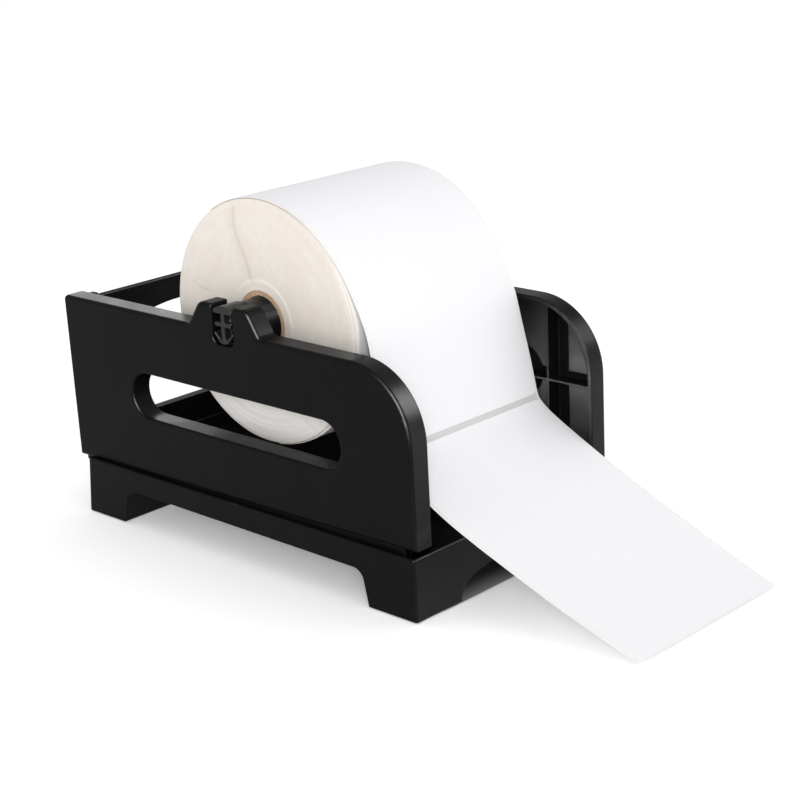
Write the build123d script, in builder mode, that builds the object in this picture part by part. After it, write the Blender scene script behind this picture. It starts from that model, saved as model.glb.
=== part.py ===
from build123d import *
import math
import os

os.makedirs("parts", exist_ok=True)

# Desktop stand for a roll of 4 x 6 inch thermal shipping labels. Millimetres.
# +X to the right, -Y to the front (where the labels leave), +Z up.
# The origin is under the middle of the whole footprint, on the table.

# ---------------------------------------------------------------- dimensions
YO = 46.95           # the base's middle lies this far behind the origin

# base tray
base_half_x = 73.0
base_half_y = 117.15
base_h = 30.0
draft_side = 0.65
draft_rear = 2.2
draft_front = 0.9
wall = 2.2
floor_under = 19.5
floor_top = 21.7
foot_gap = 0.4       # legs' undersides, held this far up by the pads
leg_x = 30.4         # leg's size along X at the foot
leg_y = 29.4         # leg's size along Y at the foot

# side panels
panel_out = 69.5     # outer face
panel_deep = 10.7    # flange depth
panel_in = panel_out - panel_deep
skin = 2.5
panel_top = 115.7
panel_front = -114.9
panel_rear = 125.3
right_rise = 1.5     # right panel's front part, over the left one's
right_ahead = 0.9
tower_y = 3.7        # middle of the tower and of its notch
notch_w = 15.0
notch_floor = 108.2
hole_len = 146.5
hole_h = 23.4
hole_y = 2.65
hole_z = 72.0
tab_ys = (-60.0, 60.0)

# spindle and roll
spin_y = 1.8         # spindle axis
spin_z = 116.6
spin_r = 10.8
spin_bore = 8.4
roll_y = -0.2        # roll axis: the core hangs on top of the spindle
roll_z = 115.4
core_bore = 13.2
core_r = 15.8
roll_r = 60.1
roll_x0 = -48.0
roll_x1 = 57.0

# label web
liner_t = 0.2
label_t = 0.18
web_gap = 0.25       # web stands this far off the roll under it
label_len = 152.4
label_margin = 1.7   # liner showing beside each label
label_gap = 3.2      # liner showing between labels
next_start = 1.6     # the label over the roll runs unbroken from the web's hidden end


def side_plane(x):
    """Plane across X: local x runs along +Y from the base's middle, local y along +Z."""
    return Plane(origin=(x, YO, 0), x_dir=(0, 1, 0), z_dir=(1, 0, 0))


def front_plane(y):
    """Plane across Y: local x runs along +X, local y along +Z, normal to -Y."""
    return Plane(origin=(0, YO + y, 0), x_dir=(1, 0, 0), z_dir=(0, -1, 0))


def level(z, y=0.0, x=0.0):
    """Level plane at height z, centred x, y from the base's middle."""
    return Plane(origin=(x, YO + y, z), x_dir=(1, 0, 0), z_dir=(0, 0, 1))


# ---------------------------------------------------------------- base tray
with BuildPart() as base_tray:
    with BuildSketch(level(foot_gap)):
        RectangleRounded(2 * base_half_x, 2 * base_half_y, 1.2)
    with BuildSketch(level(base_h, (draft_front - draft_rear) / 2)):
        RectangleRounded(
            2 * (base_half_x - draft_side),
            2 * base_half_y - draft_front - draft_rear,
            1.2,
        )
    loft()
    fillet(base_tray.faces().sort_by(Axis.Z)[-1].edges(), 0.6)
    # long arches through both sides
    with BuildSketch(side_plane(-80)):
        with BuildLine():
            FilletPolyline(
                (88.2, -1), (83.0, 18.9), (-83.4, 17.6), (-87.9, -1),
                radius=6.5,
            )
            Line((-87.9, -1), (88.2, -1))
        make_face()
    extrude(amount=160, mode=Mode.SUBTRACT)
    # low arches through the front and rear
    with BuildSketch(front_plane(-125)):
        with BuildLine():
            Polyline((-42.8, -1), (-42.6, 0.5))
            Spline(
                (-42.6, 0.5), (-41.4, 5.0), (-36.5, 8.9), (-29.4, 11.3),
                (-15.0, 12.9), (0, 13.2), (15.0, 12.9), (29.4, 11.3),
                (36.5, 8.9), (41.4, 5.0), (42.6, 0.5),
            )
            Polyline((42.6, 0.5), (42.8, -1), (-42.8, -1))
        make_face()
    extrude(amount=-250, mode=Mode.SUBTRACT)
    # underside hollows: under the floor, and between the legs at each end
    with BuildSketch(level(15.0)):
        RectangleRounded(2 * 70.4, 2 * 82.0, 3.0)
    extrude(amount=floor_under - 15.0, mode=Mode.SUBTRACT)
    with BuildSketch(level(-1.0)):
        with Locations((0, -100.3), (0, 99.4)):
            RectangleRounded(2 * 40.0, 28.6, 2.0)
    extrude(amount=floor_under + 1.0, mode=Mode.SUBTRACT)
    # inside of the tray above the floor
    with BuildSketch(level(floor_top, -0.6)):
        RectangleRounded(2 * 70.45, 2 * 113.9, 1.0)
    with BuildSketch(level(base_h + 1, -0.6)):
        RectangleRounded(2 * 70.75, 2 * 114.1, 1.0)
    loft(mode=Mode.SUBTRACT)
    # wells that run down inside the four legs
    for sx in (-1, 1):
        for cy, sy in ((-102.3, 1.0), (102.4, -1.0)):
            with BuildSketch(level(3.2, cy - 0.2 * sy, sx * 57.9)):
                RectangleRounded(leg_x - 5.4, leg_y - 5.0, 2.0)
            with BuildSketch(level(floor_top + 0.1, cy + 1.6 * sy, sx * 56.9)):
                RectangleRounded(leg_x - 3.6, leg_y - 1.6, 2.0)
            loft(mode=Mode.SUBTRACT)
    # raised sockets for the panels' tabs, each open through the floor
    with BuildSketch(level(floor_top - 0.2)):
        with Locations(*[(sx * 64.0, ty) for sx in (-1, 1) for ty in tab_ys]):
            RectangleRounded(10.0, 22.0, 1.0)
    extrude(amount=7.0)
    with BuildSketch(level(floor_under - 1.0)):
        with Locations(*[(sx * 64.0, ty) for sx in (-1, 1) for ty in tab_ys]):
            Rectangle(5.4, 16.4)
    extrude(amount=14.0, mode=Mode.SUBTRACT)
    # reliefs in the rear rim where the panels' lower edges pass over it
    with BuildSketch(level(28.6)):
        with Locations((-64.2, 113.5), (64.2, 113.5)):
            Rectangle(11.6, 6.0)
    extrude(amount=4.0, mode=Mode.SUBTRACT)
    # shallow stiffening ribs across the floor's underside
    with BuildSketch(level(floor_under + 0.1)):
        with Locations((0, -48), (0, -16), (0, 16), (0, 48)):
            Rectangle(140.9, 1.6)
        with Locations((-28, 0), (28, 0)):
            Rectangle(1.6, 163.0)
    extrude(amount=-2.0)
base_tray.part.label = "base_tray"


# ---------------------------------------------------------------- side panels
def panel_outline(rise=0.0, ahead=0.0):
    """Outer outline of a side panel, with its tower, in the side plane."""
    with BuildLine() as line:
        FilletPolyline(
            (panel_rear, 29.0),
            (panel_rear + 1.3, panel_top),
            (tower_y + 24.9, panel_top),
            (tower_y + 16.6, 127.9),
            (tower_y - 16.6, 127.9),
            (tower_y - 24.9, panel_top - 0.4 + rise),
            (panel_front - ahead + 0.7, panel_top - 0.6 + rise),
            (panel_front - ahead, 32.4),
            radius=[2.5, 3.0, 5.5, 5.5, 3.0, 35.5 + ahead],
        )
        Line((panel_front - ahead, 32.4), (panel_rear, 29.0))
    return line


def notch_outline(grow=0.0):
    """Open-topped notch, optionally grown outward."""
    half = notch_w / 2 + grow
    low = notch_floor - grow
    with BuildLine() as line:
        FilletPolyline(
            (tower_y - half, 135), (tower_y - half, low),
            (tower_y + half, low), (tower_y + half, 135),
            radius=4.2 + grow,
        )
        Line((tower_y + half, 135), (tower_y - half, 135))
    return line


def side_panel(sign):
    """One panel shell: outer skin, inward rim, handle collar, notch collar, ribs, tabs."""
    out = side_plane(sign * panel_out)
    inn = side_plane(sign * panel_in)
    # the right panel stands a little taller in front of the tower
    rise, ahead = (right_rise, right_ahead) if sign > 0 else (0.0, 0.0)
    with BuildPart() as panel:
        with BuildSketch(out):
            with BuildLine():
                add(panel_outline(rise, ahead))
            make_face()
        extrude(amount=-sign * panel_deep)
        outer = panel.faces().sort_by(Axis.X)[-1 if sign > 0 else 0]
        fillet(outer.outer_wire().edges(), 1.7)
        # hollow inside, between the rim, the collars and the ribs
        with BuildSketch(inn):
            with BuildLine():
                add(panel_outline(rise, ahead))
            make_face()
            offset(amount=-skin, kind=Kind.INTERSECTION)
            with BuildLine():
                add(notch_outline(2.4))
            make_face(mode=Mode.SUBTRACT)
            with Locations((hole_y, hole_z)):
                SlotOverall(hole_len + 4.6, hole_h + 4.6, mode=Mode.SUBTRACT)
            with Locations((-88.6, 72), (93.9, 72)):
                Rectangle(1.3, 110, mode=Mode.SUBTRACT)
            with Locations((-98, 75.4), (103.3, 75.4)):
                Rectangle(60, 1.4, mode=Mode.SUBTRACT)
            with Locations((-45, 40), (tower_y, 40), (51, 40)):
                Rectangle(1.3, 50, mode=Mode.SUBTRACT)
            with Locations((-45, 102), (51, 102)):
                Rectangle(1.3, 50, mode=Mode.SUBTRACT)
        extrude(amount=sign * (panel_deep - skin), mode=Mode.SUBTRACT)
        # handle opening and spindle notch, through the whole depth
        with BuildSketch(side_plane(sign * (panel_out + 1))):
            with Locations((hole_y, hole_z)):
                SlotOverall(hole_len, hole_h)
            with BuildLine():
                add(notch_outline())
            make_face()
        extrude(amount=-sign * (panel_deep + 2), mode=Mode.SUBTRACT)
        outer = panel.faces().sort_by(Axis.X)[-1 if sign > 0 else 0]
        fillet(outer.inner_wires()[0].edges(), 1.1)
        mouth = outer.edges().filter_by(
            lambda e: abs(e.center().Y - YO - tower_y) < notch_w / 2 + 0.3
            and notch_floor - 0.3 < e.center().Z < 126.0
        )
        fillet(mouth, 0.6)
        # tabs that drop into the tray's sockets, with a catch under the floor
        for ty in tab_ys:
            top = 30.6 - 0.0142 * (ty - 60.0) + 1.5
            with BuildSketch(level(17.4, ty, sign * 64.0)):
                Rectangle(4.4, 15.4)
            extrude(amount=top - 17.4)
            with BuildSketch(level(17.4, ty, sign * 62.6)):
                Rectangle(3.6, 14.0)
            extrude(amount=1.6)
        # lip under the outer edge, dropping just inside the tray's rim
        with BuildSketch(level(28.75, 0, sign * 68.5)):
            Rectangle(1.2, 216.0)
        extrude(amount=4.4)
        # locating nib under the rear end, just behind the tray
        with BuildSketch(level(27.4, 118.2, sign * 67.6)):
            RectangleRounded(2.6, 4.2, 0.6)
        extrude(amount=3.4)
    return panel


left_side_panel = side_panel(-1)
left_side_panel.part.label = "left_side_panel"
right_side_panel = side_panel(1)
right_side_panel.part.label = "right_side_panel"

# ---------------------------------------------------------------- rear frame
# Open frame between the panels' rear ends: cross bar above, apron below, ribbed behind.
frame_half = panel_in - 0.15
with BuildPart() as rear_frame:
    with BuildSketch(front_plane(118.0)):
        with BuildLine():
            Polyline(
                (-frame_half, 27.6), (-frame_half, 113.5),
                (frame_half, 113.5), (frame_half, 27.6), (-frame_half, 27.6),
            )
        make_face()
    extrude(amount=-3.0)
    fillet(rear_frame.edges().filter_by(Axis.X).group_by(Axis.Z)[-1], 1.2)
    # stiffening rims on the rear side
    with BuildSketch(front_plane(121.0)):
        with Locations((0, 109.9), (0, 28.6)):
            Rectangle(2 * frame_half, 2.0)
        with Locations((-frame_half + 1.0, 69.25), (frame_half - 1.0, 69.25)):
            Rectangle(2.0, 83.3)
        with Locations((-20, 36), (20, 36)):
            Rectangle(1.6, 16.0)
        with BuildLine():
            Polyline((-48.4, 91.2), (-48.4, 41.0), (48.4, 41.0), (48.4, 91.2))
            ThreePointArc((48.4, 91.2), (0, 102.3), (-48.4, 91.2))
        make_face()
    extrude(amount=-2.6)
    # window with an arched head
    with BuildSketch(front_plane(116.0)):
        with BuildLine():
            FilletPolyline(
                (-46.4, 89.8), (-46.4, 43.2), (46.4, 43.2), (46.4, 89.8), radius=4.0
            )
            ThreePointArc((46.4, 89.8), (0, 100.1), (-46.4, 89.8))
        make_face()
    extrude(amount=-9.0, mode=Mode.SUBTRACT)
    # ears that sit inside the hollow of each panel, behind its last rib
    for s in (-1, 1):
        with BuildSketch(front_plane(118.2)):
            with Locations((s * (frame_half + 3.0), 52.0), (s * (frame_half + 3.0), 96.0)):
                Rectangle(7.0, 22.0)
        extrude(amount=-2.6)
    # small stops that lap the panels' top edges
    with BuildSketch(front_plane(117.8)):
        with Locations((-frame_half + 2.4, 113.9), (frame_half - 2.4, 113.9)):
            RectangleRounded(4.8, 2.0, 0.6)
    extrude(amount=-3.4)
rear_frame.part.label = "rear_frame"

# ---------------------------------------------------------------- foot pads
with BuildPart() as foot_pads:
    with BuildSketch(level(0)):
        with Locations(
            *[(sx * 57.8, cy) for sx in (-1, 1) for cy in (-102.4, 102.6)]
        ):
            RectangleRounded(20.0, 20.0, 4.0)
    extrude(amount=1.3)
# shallow recesses in the legs take the pads
with BuildPart() as pad_recess:
    with BuildSketch(level(-1.0)):
        with Locations(
            *[(sx * 57.8, cy) for sx in (-1, 1) for cy in (-102.4, 102.6)]
        ):
            RectangleRounded(20.4, 20.4, 4.2)
    extrude(amount=2.3)
with BuildPart() as base_tray_done:
    add(base_tray.part)
    add(pad_recess.part, mode=Mode.SUBTRACT)

# ---------------------------------------------------------------- spindle
with BuildPart() as spindle_tube:
    with BuildSketch(Plane(origin=(-57.4, YO + spin_y, spin_z), x_dir=(0, 1, 0), z_dir=(1, 0, 0))):
        Circle(spin_r)
        Circle(spin_bore, mode=Mode.SUBTRACT)
    extrude(amount=114.8)
    chamfer(spindle_tube.edges().filter_by(GeomType.CIRCLE).sort_by(SortBy.RADIUS)[-2:], 0.5)
spindle_tube.part.label = "spindle_tube"

key_y = 3.6          # middle of each key's tab
key_w = 12.8
key_lo = 109.1
key_hi = 127.6
key_out = 69.2       # end faces, nearly flush with the panels


def spindle_key(sign):
    """End key: plug in the tube, and a tab with a crowned top, a keel and a cross of ribs between."""
    with BuildPart() as key:
        with BuildSketch(Plane(origin=(sign * 45.0, YO + spin_y, spin_z), x_dir=(0, 1, 0), z_dir=(1, 0, 0))):
            Circle(spin_bore - 0.05)
            Circle(spin_bore - 2.2, mode=Mode.SUBTRACT)
        extrude(amount=sign * 13.0)
        with BuildSketch(Plane(origin=(sign * 57.4, YO + spin_y, spin_z), x_dir=(0, 1, 0), z_dir=(1, 0, 0))):
            Circle(spin_bore - 0.05)
        extrude(amount=sign * 1.2)
        with BuildSketch(side_plane(sign * 57.9)):
            with BuildLine():
                Polyline(
                    (key_y - key_w / 2, key_hi - 2.2),
                    (key_y - key_w / 2, key_lo + 4.6),
                    (key_y - key_w / 2 + 3.4, key_lo + 0.9),
                    (key_y - 1.4, key_lo),
                    (key_y + 1.4, key_lo),
                    (key_y + key_w / 2 - 3.4, key_lo + 0.9),
                    (key_y + key_w / 2, key_lo + 4.6),
                    (key_y + key_w / 2, key_hi - 2.2),
                )
                ThreePointArc(
                    (key_y + key_w / 2, key_hi - 2.2),
                    (key_y, key_hi),
                    (key_y - key_w / 2, key_hi - 2.2),
                )
            make_face()
        extrude(amount=sign * (key_out - 57.9))
        # recesses open to both sides, between the top, the keel and the cross
        with BuildSketch(side_plane(sign * key_out)):
            with BuildLine():
                Polyline(
                    (key_y - key_w / 2 - 1.0, key_hi - 3.6),
                    (key_y - key_w / 2 - 1.0, key_lo + 5.4),
                    (key_y - key_w / 2 + 0.2, key_lo + 5.4),
                    (key_y - key_w / 2 + 4.0, key_lo + 2.0),
                    (key_y + key_w / 2 - 4.0, key_lo + 2.0),
                    (key_y + key_w / 2 - 0.2, key_lo + 5.4),
                    (key_y + key_w / 2 + 1.0, key_lo + 5.4),
                    (key_y + key_w / 2 + 1.0, key_hi - 3.6),
                    (key_y - key_w / 2 - 1.0, key_hi - 3.6),
                )
            make_face()
            with Locations((key_y, 117)):
                Rectangle(2.0, 30, mode=Mode.SUBTRACT)
            with Locations((key_y, 118.6)):
                Rectangle(10.9, 2.0, mode=Mode.SUBTRACT)
        extrude(amount=-sign * 4.0, mode=Mode.SUBTRACT)
    return key


left_spindle_key = spindle_key(-1)
left_spindle_key.part.label = "left_spindle_key"
right_spindle_key = spindle_key(1)
right_spindle_key.part.label = "right_spindle_key"

# ---------------------------------------------------------------- core and roll
roll_plane = Plane(origin=(roll_x0, YO + roll_y, roll_z), x_dir=(0, 1, 0), z_dir=(1, 0, 0))
with BuildPart() as cardboard_core:
    with BuildSketch(roll_plane):
        Circle(core_r)
        Circle(core_bore, mode=Mode.SUBTRACT)
    extrude(amount=roll_x1 - roll_x0)
cardboard_core.part.label = "cardboard_core"

with BuildPart() as label_roll:
    with BuildSketch(roll_plane):
        Circle(roll_r)
        Circle(core_r, mode=Mode.SUBTRACT)
    extrude(amount=roll_x1 - roll_x0)
label_roll.part.label = "label_roll"

# ---------------------------------------------------------------- label web
# The outermost turn: over the top of the roll, loose down its front, bent where the
# next label begins, and out across the tray's front rim to the table.
web_r = roll_r + web_gap
over_roll = [
    (roll_y + web_r * math.cos(math.radians(a)), roll_z + web_r * math.sin(math.radians(a)))
    for a in range(58, 107, 6)
]
down_front = [
    (-36.0, 165.2), (-48.9, 155.3), (-57.4, 143.0), (-63.2, 131.8),
    (-68.4, 119.6), (-73.2, 106.0), (-77.6, 91.4), (-81.0, 78.0),
]
bend = [(-82.9, 68.4), (-84.3, 64.6), (-88.6, 60.3)]
to_table = [
    (-97.0, 54.9), (-107.0, 49.1), (-118.0, 43.0), (-135.0, 34.6), (-153.0, 26.8),
    (-175.0, 18.0), (-198.0, 9.3), (-220.4, 1.3),
]
with BuildLine() as web_line:
    Spline(*(over_roll + down_front + bend + to_table))
web_edge = web_line.edge()
web_len = web_edge.length


def web_point(s, off):
    """Point at length s along the web's inner face, off outward of it."""
    p = web_edge.position_at(s / web_len)
    t = web_edge.tangent_at(s / web_len)
    nx, nz = -t.Y, t.X      # the roll lies to the left of the direction of travel
    return (p.X - nx * off, p.Y - nz * off)


def length_of(target_y):
    """Length along the web where it passes the given Y, beyond the roll's top."""
    lo, hi = 0.0, 1.0
    for _ in range(60):
        mid = (lo + hi) / 2
        if web_edge.position_at(mid).X > target_y:
            lo = mid
        else:
            hi = mid
    return lo * web_len


def web_sheet(s0, s1, off0, off1, x0, x1):
    """Solid strip of the web between two lengths and two offsets."""
    n = max(int((s1 - s0) / 5.0), 12)
    inner = [web_point(s0 + (s1 - s0) * i / n, off0) for i in range(n + 1)]
    outer = [web_point(s0 + (s1 - s0) * i / n, off1) for i in range(n + 1)]
    with BuildPart() as sheet:
        with BuildSketch(side_plane(x0)):
            with BuildLine():
                Spline(*inner)
                Line(inner[-1], outer[-1])
                Spline(*reversed(outer))
                Line(outer[0], inner[0])
            make_face()
        extrude(amount=x1 - x0)
    return sheet


gap_s = length_of(-83.9)
liner_web = web_sheet(0.0, web_len, 0.0, liner_t, roll_x0, roll_x1)
liner_web.part.label = "liner_web"
front_label = web_sheet(
    gap_s + label_gap / 2, min(gap_s + label_gap / 2 + label_len, web_len - 0.4),
    liner_t + 0.02, liner_t + 0.02 + label_t, roll_x0 + label_margin, roll_x1 - label_margin,
)
front_label.part.label = "front_label"
next_label = web_sheet(
    next_start, gap_s - label_gap / 2,
    liner_t + 0.02, liner_t + 0.02 + label_t, roll_x0 + label_margin, roll_x1 - label_margin,
)
next_label.part.label = "next_label"

base_tray_done.part.label = "base_tray"
foot_pads.part.label = "foot_pads"

export_step(base_tray_done.part, "parts/base_tray.step")
export_step(left_side_panel.part, "parts/left_side_panel.step")
export_step(right_side_panel.part, "parts/right_side_panel.step")
export_step(rear_frame.part, "parts/rear_frame.step")
export_step(foot_pads.part, "parts/foot_pads.step")
export_step(spindle_tube.part, "parts/spindle_tube.step")
export_step(left_spindle_key.part, "parts/left_spindle_key.step")
export_step(right_spindle_key.part, "parts/right_spindle_key.step")
export_step(cardboard_core.part, "parts/cardboard_core.step")
export_step(label_roll.part, "parts/label_roll.step")
export_step(liner_web.part, "parts/liner_web.step")
export_step(front_label.part, "parts/front_label.step")
export_step(next_label.part, "parts/next_label.step")

print("web length", round(web_len, 2), "gap at", round(gap_s, 2), "table side", round(web_len - gap_s, 2))
print("web end", web_point(web_len, 0.0), web_point(web_len, liner_t))
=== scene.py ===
import math

import bpy
import numpy as np
from mathutils import Matrix, Vector


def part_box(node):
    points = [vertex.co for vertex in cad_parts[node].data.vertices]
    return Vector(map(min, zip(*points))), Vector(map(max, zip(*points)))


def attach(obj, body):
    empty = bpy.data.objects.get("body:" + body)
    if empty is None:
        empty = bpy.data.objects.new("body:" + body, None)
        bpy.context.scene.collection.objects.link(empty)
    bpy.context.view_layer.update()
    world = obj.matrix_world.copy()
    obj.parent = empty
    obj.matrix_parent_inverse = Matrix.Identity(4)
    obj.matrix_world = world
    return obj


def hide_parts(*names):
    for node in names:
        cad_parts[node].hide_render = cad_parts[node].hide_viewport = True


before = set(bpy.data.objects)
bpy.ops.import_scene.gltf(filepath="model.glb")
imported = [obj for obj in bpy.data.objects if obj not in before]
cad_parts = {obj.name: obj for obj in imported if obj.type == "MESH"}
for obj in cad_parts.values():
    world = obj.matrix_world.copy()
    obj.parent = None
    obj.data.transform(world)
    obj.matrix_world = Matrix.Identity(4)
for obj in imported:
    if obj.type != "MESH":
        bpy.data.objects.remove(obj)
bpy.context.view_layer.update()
MM = 0.001

# ------------------------------------------------------------------ where things are
tray_lo, tray_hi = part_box("base_tray")
roll_lo, roll_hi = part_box("label_roll")
core_lo, core_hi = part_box("cardboard_core")
web_lo, web_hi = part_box("liner_web")
YC = (tray_lo.y + tray_hi.y) / 2 / MM          # middle of the base, mm
AX_Y = (roll_lo.y + roll_hi.y) / 2 / MM        # roll axis, mm
AX_Z = (roll_lo.z + roll_hi.z) / 2 / MM
ROLL_R = (roll_hi.z - roll_lo.z) / 2 / MM
CORE_R = (core_hi.z - core_lo.z) / 2 / MM
CORE_BORE = 13.2
X0 = roll_lo.x / MM
X1 = roll_hi.x / MM


# ------------------------------------------------------------------ mesh helpers
class Builder:
    """Collects grids of points into one mesh, in millimetres."""

    def __init__(self):
        self.v, self.f, self.m, self.attr = [], [], [], {}
        self.n = 0

    def grid(self, pts, wrap_u=False, wrap_v=False, flip=False, mat=0, **attrs):
        """pts is (nu, nv, 3). Quads face along du x dv."""
        nu, nv = pts.shape[:2]
        base = self.n
        self.v.append(pts.reshape(-1, 3))
        for k, a in attrs.items():
            self.attr.setdefault(k, []).append((base, np.asarray(a, float).ravel()))
        idx = np.arange(nu * nv).reshape(nu, nv) + base
        if wrap_u:
            idx = np.vstack([idx, idx[:1]])
        if wrap_v:
            idx = np.hstack([idx, idx[:, :1]])
        a, b, c, d = idx[:-1, :-1], idx[1:, :-1], idx[1:, 1:], idx[:-1, 1:]
        q = np.stack([a, b, c, d], -1).reshape(-1, 4)
        if flip:
            q = q[:, ::-1]
        self.f.append(q)
        self.m.append(np.full(len(q), mat, np.int32))
        self.n += nu * nv
        return idx[:nu, :nv] if not (wrap_u or wrap_v) else idx

    def strip(self, row_a, row_b, flip=False, mat=0):
        """Quads between two existing rows of vertex numbers."""
        a, b = np.asarray(row_a), np.asarray(row_b)
        q = np.stack([a[:-1], b[:-1], b[1:], a[1:]], -1)
        if flip:
            q = q[:, ::-1]
        self.f.append(q)
        self.m.append(np.full(len(q), mat, np.int32))

    def make(self, name, mats, origin=(0, 0, 0), smooth=True, angle=35):
        v = (np.vstack(self.v) - np.array(origin, float)) * MM
        f = np.vstack(self.f)
        me = bpy.data.meshes.new(name)
        me.from_pydata(v.tolist(), [], f.tolist())
        me.polygons.foreach_set("material_index", np.concatenate(self.m))
        for k, parts in self.attr.items():
            full = np.zeros(len(v), np.float32)
            for start, a in parts:
                full[start:start + len(a)] = a
            at = me.attributes.new(k, "FLOAT", "POINT")
            at.data.foreach_set("value", full)
        for m in mats:
            me.materials.append(m)
        me.update()
        me.validate()
        ob = bpy.data.objects.new(name, me)
        ob.location = Vector(origin) * MM
        bpy.context.scene.collection.objects.link(ob)
        if smooth:
            me.polygons.foreach_set("use_smooth", np.ones(len(me.polygons), bool))
            me.set_sharp_from_angle(angle=math.radians(angle))
        return ob


def smoothstep(x, a, b):
    t = np.clip((np.asarray(x, float) - a) / (b - a), 0, 1)
    return t * t * (3 - 2 * t)


def gauss_smooth(a, sigma):
    """Smooths rows of a, sigma in samples, with both ends kept."""
    n = int(max(3, sigma * 4))
    k = np.exp(-0.5 * (np.arange(-n, n + 1) / sigma) ** 2)
    k /= k.sum()
    out = np.empty_like(a)
    for j in range(a.shape[1]):
        col = a[:, j]
        left = 2 * col[0] - col[n:0:-1]
        right = 2 * col[-1] - col[-2:-n - 2:-1]
        out[:, j] = np.convolve(np.concatenate([left, col, right]), k, "valid")
    return out


def resample(p, step):
    p = np.asarray(p, float)
    d = np.r_[0, np.cumsum(np.hypot(*np.diff(p, axis=0).T))]
    n = max(int(round(d[-1] / step)), 8)
    s = np.linspace(0, d[-1], n + 1)
    return np.stack([np.interp(s, d, p[:, 0]), np.interp(s, d, p[:, 1])], -1)


# ------------------------------------------------------------------ node helpers
def new_mat(name):
    m = bpy.data.materials.new(name)
    m.use_nodes = True
    nt = m.node_tree
    nt.nodes.clear()
    out = nt.nodes.new("ShaderNodeOutputMaterial")
    b = nt.nodes.new("ShaderNodeBsdfPrincipled")
    nt.links.new(b.outputs["BSDF"], out.inputs["Surface"])
    return m, nt, b


class Nodes:
    """Short names for the shader nodes used here."""

    def __init__(self, nt):
        self.nt = nt
        self._obj = None

    def put(self, kind, **vals):
        n = self.nt.nodes.new(kind)
        for k, v in vals.items():
            setattr(n, k, v)
        return n

    def link(self, a, b):
        self.nt.links.new(a, b)

    @property
    def obj(self):
        if self._obj is None:
            self._obj = self.put("ShaderNodeTexCoord").outputs["Object"]
        return self._obj

    def noise(self, scale, detail=3.0, rough=0.5, vec=None, dims="3D", w=None, distortion=0.0):
        n = self.put("ShaderNodeTexNoise", noise_dimensions=dims)
        n.inputs["Scale"].default_value = scale
        n.inputs["Detail"].default_value = detail
        n.inputs["Roughness"].default_value = rough
        n.inputs["Distortion"].default_value = distortion
        if dims != "1D":
            self.link(vec if vec is not None else self.obj, n.inputs["Vector"])
        if w is not None:
            self.link(w, n.inputs["W"])
        return n.outputs["Fac"]

    def math(self, op, a, b=None, clamp=False):
        n = self.put("ShaderNodeMath", operation=op, use_clamp=clamp)
        for i, x in enumerate((a, b)):
            if x is None:
                continue
            if isinstance(x, (int, float)):
                n.inputs[i].default_value = x
            else:
                self.link(x, n.inputs[i])
        return n.outputs[0]

    def ramp(self, fac, lo, hi, a=0.0, b=1.0):
        n = self.put("ShaderNodeMapRange", interpolation_type="SMOOTHSTEP")
        self.link(fac, n.inputs["Value"])
        n.inputs["From Min"].default_value = lo
        n.inputs["From Max"].default_value = hi
        n.inputs["To Min"].default_value = a
        n.inputs["To Max"].default_value = b
        return n.outputs["Result"]

    def mix(self, fac, a, b):
        n = self.put("ShaderNodeMix", data_type="RGBA")
        for sock, x in ((n.inputs[0], fac), (n.inputs[6], a), (n.inputs[7], b)):
            if isinstance(x, (int, float)):
                sock.default_value = x
            elif isinstance(x, (tuple, list)):
                sock.default_value = (*x, 1.0)
            else:
                self.link(x, sock)
        return n.outputs[2]

    def bump(self, height, strength, distance, normal=None):
        n = self.put("ShaderNodeBump")
        n.inputs["Strength"].default_value = strength
        n.inputs["Distance"].default_value = distance
        self.link(height, n.inputs["Height"])
        if normal is not None:
            self.link(normal, n.inputs["Normal"])
        return n.outputs["Normal"]

    def split(self, vec=None):
        n = self.put("ShaderNodeSeparateXYZ")
        self.link(vec if vec is not None else self.obj, n.inputs[0])
        return n.outputs[0], n.outputs[1], n.outputs[2]

    def stretch(self, sx, sy, sz):
        n = self.put("ShaderNodeMapping")
        n.inputs["Scale"].default_value = (sx, sy, sz)
        self.link(self.obj, n.inputs["Vector"])
        return n.outputs["Vector"]


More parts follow.
